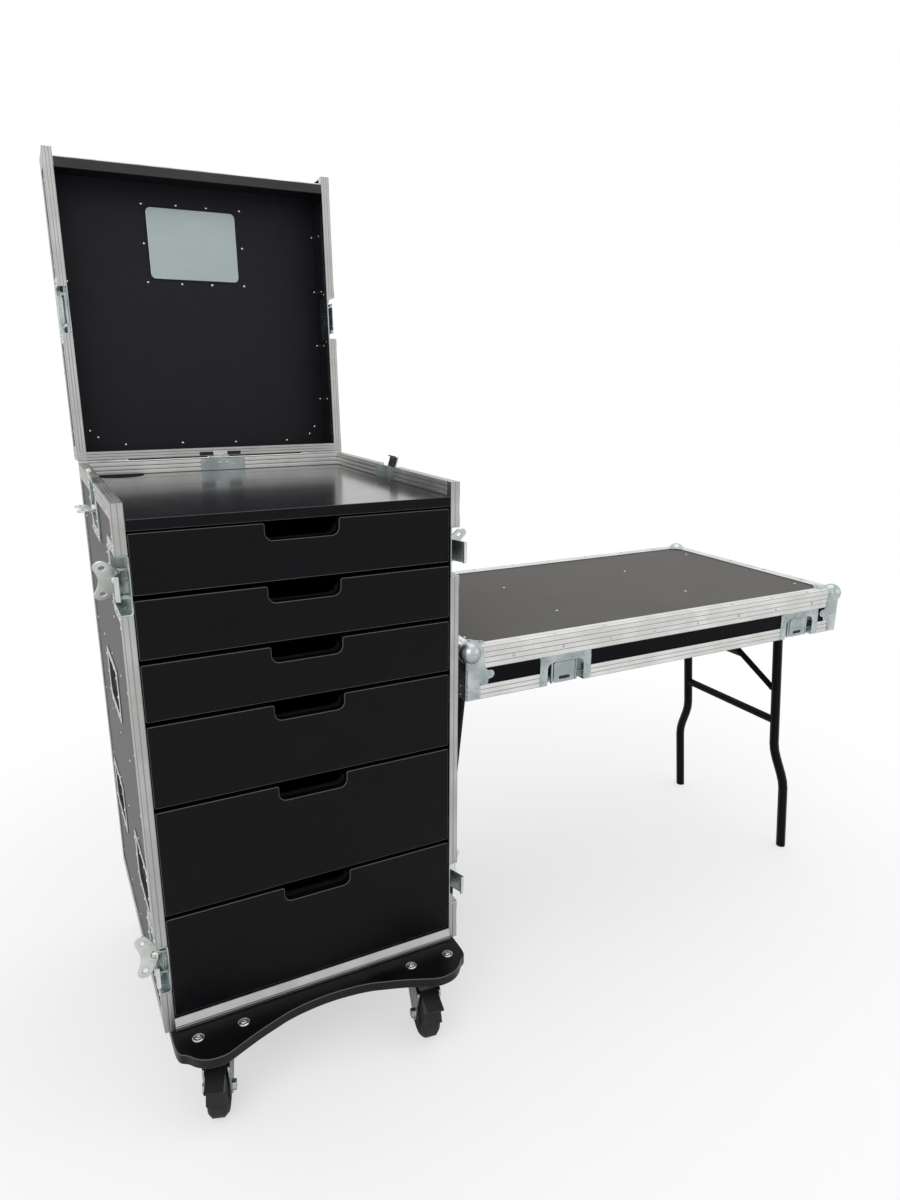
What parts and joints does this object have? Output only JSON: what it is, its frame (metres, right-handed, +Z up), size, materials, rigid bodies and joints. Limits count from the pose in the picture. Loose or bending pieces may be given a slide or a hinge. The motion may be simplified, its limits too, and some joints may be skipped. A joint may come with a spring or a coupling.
{
  "type": "road case with drawers",
  "caption": "Wheeled road case with drawers under a worktop, a hinged lid, and its front cover standing beside it as a folding-leg table.",
  "frame": {"origin": "middle of the whole object's footprint on the floor", "axes": "+Z up, +X to the right of someone facing the drawers, drawers open towards -Y"},
  "size_m": [1.7764, 0.8942, 1.7594],
  "materials": {
    "black_board": "black wood-grain laminate on plywood",
    "worktop": "smooth satin black laminate",
    "drawer_front": "glossy black laminate",
    "film_board": "black film-faced birch plywood",
    "aluminium": "ribbed mill-finish extrusion",
    "zinc_steel": "zinc-plated steel",
    "tyre": "matt black tyre and hub",
    "black_steel": "black powder coat"
  },
  "bodies": {
    "case": {"right_wall": "black_board", "left_wall": "black_board", "back_wall": "black_board", "case_floor": "black_board", "worktop": "worktop", "dolly_board": "black_board", "case_edging": "aluminium"},
    "drawer_1": {"drawer_1_front": "drawer_front", "drawer_1_box": "film_board"},
    "drawer_2": {"drawer_2_front": "drawer_front", "drawer_2_box": "film_board"},
    "drawer_3": {"drawer_3_front": "drawer_front", "drawer_3_box": "film_board"},
    "drawer_4": {"drawer_4_front": "drawer_front", "drawer_4_box": "film_board"},
    "drawer_5": {"drawer_5_front": "drawer_front", "drawer_5_box": "film_board"},
    "drawer_6": {"drawer_6_front": "drawer_front", "drawer_6_box": "film_board"},
    "lid": {"lid_shell": "black_board", "lid_edging": "aluminium"},
    "lower_left_latch_wing": {"lower_left_latch_wing": "zinc_steel"},
    "lower_left_latch_hook": {"lower_left_latch_hook": "zinc_steel"},
    "upper_left_latch_wing": {"upper_left_latch_wing": "zinc_steel"},
    "upper_left_latch_hook": {"upper_left_latch_hook": "zinc_steel"},
    "lid_left_latch_wing": {"lid_left_latch_wing": "zinc_steel"},
    "lid_left_latch_hook": {"lid_left_latch_hook": "zinc_steel"},
    "lower_right_latch_wing": {"lower_right_latch_wing": "zinc_steel"},
    "lower_right_latch_hook": {"lower_right_latch_hook": "zinc_steel"},
    "upper_right_latch_wing": {"upper_right_latch_wing": "zinc_steel"},
    "upper_right_latch_hook": {"upper_right_latch_hook": "zinc_steel"},
    "lid_right_latch_wing": {"lid_right_latch_wing": "zinc_steel"},
    "lid_right_latch_hook": {"lid_right_latch_hook": "zinc_steel"},
    "left_handle_1_bail": {"left_handle_1_bail": "black_steel"},
    "left_handle_2_bail": {"left_handle_2_bail": "black_steel"},
    "left_handle_3_bail": {"left_handle_3_bail": "black_steel"},
    "right_handle_1_bail": {"right_handle_1_bail": "black_steel"},
    "right_handle_2_bail": {"right_handle_2_bail": "black_steel"},
    "right_handle_3_bail": {"right_handle_3_bail": "black_steel"},
    "front_left_caster": {"front_left_caster_fork": "zinc_steel"},
    "front_left_wheel": {"front_left_caster_wheel": "tyre"},
    "front_left_pedal": {"front_left_caster_pedal": "black_steel"},
    "front_right_caster": {"front_right_caster_fork": "zinc_steel"},
    "front_right_wheel": {"front_right_caster_wheel": "tyre"},
    "front_right_pedal": {"front_right_caster_pedal": "black_steel"},
    "rear_left_caster": {"rear_left_caster_fork": "zinc_steel"},
    "rear_left_wheel": {"rear_left_caster_wheel": "tyre"},
    "rear_left_pedal": {"rear_left_caster_pedal": "black_steel"},
    "rear_right_caster": {"rear_right_caster_fork": "zinc_steel"},
    "rear_right_wheel": {"rear_right_caster_wheel": "tyre"},
    "rear_right_pedal": {"rear_right_caster_pedal": "black_steel"},
    "cover": {"cover_tray": "black_board", "cover_edging": "aluminium"},
    "left_leg_frame": {"left_leg_frame": "black_steel"},
    "left_lower_stay": {"left_lower_stay": "black_steel"},
    "left_upper_stay": {"left_upper_stay": "black_steel"},
    "right_leg_frame": {"right_leg_frame": "black_steel"},
    "right_lower_stay": {"right_lower_stay": "black_steel"},
    "right_upper_stay": {"right_upper_stay": "black_steel"}
  },
  "joints": [
    {"name": "drawer_1_slide", "type": "slide", "parent": "case", "child": "drawer_1", "axis": [0, -1, 0], "range_m": [0, 0.42]},
    {"name": "drawer_2_slide", "type": "slide", "parent": "case", "child": "drawer_2", "axis": [0, -1, 0], "range_m": [0, 0.42]},
    {"name": "drawer_3_slide", "type": "slide", "parent": "case", "child": "drawer_3", "axis": [0, -1, 0], "range_m": [0, 0.42]},
    {"name": "drawer_4_slide", "type": "slide", "parent": "case", "child": "drawer_4", "axis": [0, -1, 0], "range_m": [0, 0.42]},
    {"name": "drawer_5_slide", "type": "slide", "parent": "case", "child": "drawer_5", "axis": [0, -1, 0], "range_m": [0, 0.42]},
    {"name": "drawer_6_slide", "type": "slide", "parent": "case", "child": "drawer_6", "axis": [0, -1, 0], "range_m": [0, 0.42]},
    {"name": "lid_hinge", "type": "hinge", "parent": "case", "child": "lid", "pos_m": [-0.55397, 0.30416, 1.1343], "axis": [1, 0, 0], "range_deg": [0, 93]},
    {"name": "lower_left_latch_turn", "type": "hinge", "parent": "case", "child": "lower_left_latch_wing", "pos_m": [-0.85397, -0.26984, 0.2935], "axis": [-1, 0, 0], "range_deg": [0, 180]},
    {"name": "lower_left_latch_hook_swing", "type": "hinge", "parent": "case", "child": "lower_left_latch_hook", "pos_m": [-0.84497, -0.29184, 0.2935], "axis": [0, 0, 1], "range_deg": [0, 18]},
    {"name": "upper_left_latch_turn", "type": "hinge", "parent": "case", "child": "upper_left_latch_wing", "pos_m": [-0.85397, -0.26984, 1.0035], "axis": [-1, 0, 0], "range_deg": [0, 180]},
    {"name": "upper_left_latch_hook_swing", "type": "hinge", "parent": "case", "child": "upper_left_latch_hook", "pos_m": [-0.84497, -0.29184, 1.0035], "axis": [0, 0, 1], "range_deg": [0, 18]},
    {"name": "lid_left_latch_turn", "type": "hinge", "parent": "case", "child": "lid_left_latch_wing", "pos_m": [-0.85397, -0.01084, 1.082], "axis": [-1, 0, 0], "range_deg": [0, 180]},
    {"name": "lid_left_latch_hook_swing", "type": "hinge", "parent": "case", "child": "lid_left_latch_hook", "pos_m": [-0.84497, -0.01084, 1.104], "axis": [0, 1, 0], "range_deg": [0, 18]},
    {"name": "lower_right_latch_turn", "type": "hinge", "parent": "case", "child": "lower_right_latch_wing", "pos_m": [-0.25397, -0.26984, 0.2935], "axis": [1, 0, 0], "range_deg": [0, 180]},
    {"name": "lower_right_latch_hook_swing", "type": "hinge", "parent": "case", "child": "lower_right_latch_hook", "pos_m": [-0.26297, -0.29184, 0.2935], "axis": [0, 0, -1], "range_deg": [0, 18]},
    {"name": "upper_right_latch_turn", "type": "hinge", "parent": "case", "child": "upper_right_latch_wing", "pos_m": [-0.25397, -0.26984, 1.0035], "axis": [1, 0, 0], "range_deg": [0, 180]},
    {"name": "upper_right_latch_hook_swing", "type": "hinge", "parent": "case", "child": "upper_right_latch_hook", "pos_m": [-0.26297, -0.29184, 1.0035], "axis": [0, 0, -1], "range_deg": [0, 18]},
    {"name": "lid_right_latch_turn", "type": "hinge", "parent": "case", "child": "lid_right_latch_wing", "pos_m": [-0.25397, -0.01084, 1.082], "axis": [1, 0, 0], "range_deg": [0, 180]},
    {"name": "lid_right_latch_hook_swing", "type": "hinge", "parent": "case", "child": "lid_right_latch_hook", "pos_m": [-0.26297, -0.01084, 1.104], "axis": [0, -1, 0], "range_deg": [0, 18]},
    {"name": "left_handle_1_bail_swing", "type": "hinge", "parent": "case", "child": "left_handle_1_bail", "pos_m": [-0.84487, -0.01084, 0.761], "axis": [0, 1, 0], "range_deg": [0, 90], "stiffness_Nm_per_rad": 0.08},
    {"name": "left_handle_2_bail_swing", "type": "hinge", "parent": "case", "child": "left_handle_2_bail", "pos_m": [-0.84487, -0.20084, 0.443], "axis": [0, 1, 0], "range_deg": [0, 90], "stiffness_Nm_per_rad": 0.08},
    {"name": "left_handle_3_bail_swing", "type": "hinge", "parent": "case", "child": "left_handle_3_bail", "pos_m": [-0.84487, 0.14916, 0.443], "axis": [0, 1, 0], "range_deg": [0, 90], "stiffness_Nm_per_rad": 0.08},
    {"name": "right_handle_1_bail_swing", "type": "hinge", "parent": "case", "child": "right_handle_1_bail", "pos_m": [-0.26307, -0.01084, 0.761], "axis": [0, -1, 0], "range_deg": [0, 90], "stiffness_Nm_per_rad": 0.08},
    {"name": "right_handle_2_bail_swing", "type": "hinge", "parent": "case", "child": "right_handle_2_bail", "pos_m": [-0.26307, -0.20084, 0.443], "axis": [0, -1, 0], "range_deg": [0, 90], "stiffness_Nm_per_rad": 0.08},
    {"name": "right_handle_3_bail_swing", "type": "hinge", "parent": "case", "child": "right_handle_3_bail", "pos_m": [-0.26307, 0.14916, 0.443], "axis": [0, -1, 0], "range_deg": [0, 90], "stiffness_Nm_per_rad": 0.08},
    {"name": "front_left_swivel", "type": "hinge", "parent": "case", "child": "front_left_caster", "pos_m": [-0.76097, -0.32984, 0.13], "axis": [0, 0, 1], "continuous": true},
    {"name": "front_left_wheel_roll", "type": "hinge", "parent": "front_left_caster", "child": "front_left_wheel", "pos_m": [-0.77488, -0.37263, 0.05], "axis": [-0.9511, 0.309, 0], "continuous": true},
    {"name": "front_left_pedal_tread", "type": "hinge", "parent": "front_left_caster", "child": "front_left_pedal", "pos_m": [-0.78175, -0.39378, 0.11108], "axis": [0.9511, -0.309, 0], "range_deg": [0, 7.5]},
    {"name": "front_right_swivel", "type": "hinge", "parent": "case", "child": "front_right_caster", "pos_m": [-0.34697, -0.32984, 0.13], "axis": [0, 0, 1], "continuous": true},
    {"name": "front_right_wheel_roll", "type": "hinge", "parent": "front_right_caster", "child": "front_right_wheel", "pos_m": [-0.35323, -0.3744, 0.05], "axis": [-0.9903, 0.1392, 0], "continuous": true},
    {"name": "front_right_pedal_tread", "type": "hinge", "parent": "front_right_caster", "child": "front_right_pedal", "pos_m": [-0.35633, -0.39641, 0.11108], "axis": [0.9903, -0.1392, 0], "range_deg": [0, 7.5]},
    {"name": "rear_left_swivel", "type": "hinge", "parent": "case", "child": "rear_left_caster", "pos_m": [-0.73797, 0.23816, 0.13], "axis": [0, 0, 1], "continuous": true},
    {"name": "rear_left_wheel_roll", "type": "hinge", "parent": "rear_left_caster", "child": "rear_left_wheel", "pos_m": [-0.74886, 0.1945, 0.05], "axis": [-0.9703, 0.2419, 0], "continuous": true},
    {"name": "rear_left_pedal_tread", "type": "hinge", "parent": "rear_left_caster", "child": "rear_left_pedal", "pos_m": [-0.75424, 0.17293, 0.11108], "axis": [0.9703, -0.2419, 0], "range_deg": [0, 7.5]},
    {"name": "rear_right_swivel", "type": "hinge", "parent": "case", "child": "rear_right_caster", "pos_m": [-0.36997, 0.23816, 0.13], "axis": [0, 0, 1], "continuous": true},
    {"name": "rear_right_wheel_roll", "type": "hinge", "parent": "rear_right_caster", "child": "rear_right_wheel", "pos_m": [-0.37778, 0.19385, 0.05], "axis": [-0.9848, 0.1736, 0], "continuous": true},
    {"name": "rear_right_pedal_tread", "type": "hinge", "parent": "rear_right_caster", "child": "rear_right_pedal", "pos_m": [-0.38165, 0.17195, 0.11108], "axis": [0.9848, -0.1736, 0], "range_deg": [0, 7.5]},
    {"name": "cover_lift", "type": "slide", "parent": "case", "child": "cover", "axis": [0, 0, 1], "range_m": [0, 0.15]},
    {"name": "left_leg_fold", "type": "hinge", "parent": "cover", "child": "left_leg_frame", "pos_m": [-0.16397, -0.00084, 0.7], "axis": [0, -1, 0], "range_deg": [0, 96]},
    {"name": "left_lower_stay_swing", "type": "hinge", "parent": "left_leg_frame", "child": "left_lower_stay", "pos_m": [-0.18678, -0.00084, 0.483], "axis": [0, -1, 0], "range_deg": [0, 9.6]},
    {"name": "left_upper_stay_swing", "type": "hinge", "parent": "cover", "child": "left_upper_stay", "pos_m": [-0.06697, -0.00084, 0.7], "axis": [0, -1, 0], "range_deg": [0, 261.3]},
    {"name": "right_leg_fold", "type": "hinge", "parent": "cover", "child": "right_leg_frame", "pos_m": [0.7993, -0.00084, 0.726], "axis": [0, 1, 0], "range_deg": [0, 96]},
    {"name": "right_lower_stay_swing", "type": "hinge", "parent": "right_leg_frame", "child": "right_lower_stay", "pos_m": [0.82484, -0.00084, 0.483], "axis": [0, 1, 0], "range_deg": [0, 11.1]},
    {"name": "right_upper_stay_swing", "type": "hinge", "parent": "cover", "child": "right_upper_stay", "pos_m": [0.70503, -0.00084, 0.7], "axis": [0, 1, 0], "range_deg": [0, 231.4]}
  ],
  "couplings": [
    {"joint": "lower_left_latch_hook_swing", "follows": "lower_left_latch_turn", "ratio": 0.1},
    {"joint": "upper_left_latch_hook_swing", "follows": "upper_left_latch_turn", "ratio": 0.1},
    {"joint": "lid_left_latch_hook_swing", "follows": "lid_left_latch_turn", "ratio": 0.1},
    {"joint": "lower_right_latch_hook_swing", "follows": "lower_right_latch_turn", "ratio": 0.1},
    {"joint": "upper_right_latch_hook_swing", "follows": "upper_right_latch_turn", "ratio": 0.1},
    {"joint": "lid_right_latch_hook_swing", "follows": "lid_right_latch_turn", "ratio": 0.1},
    {"joint": "left_lower_stay_swing", "follows": "left_leg_fold", "ratio": 0.1},
    {"joint": "left_upper_stay_swing", "follows": "left_leg_fold", "ratio": 2.7219},
    {"joint": "right_lower_stay_swing", "follows": "right_leg_fold", "ratio": 0.11563},
    {"joint": "right_upper_stay_swing", "follows": "right_leg_fold", "ratio": 2.4104}
  ]
}
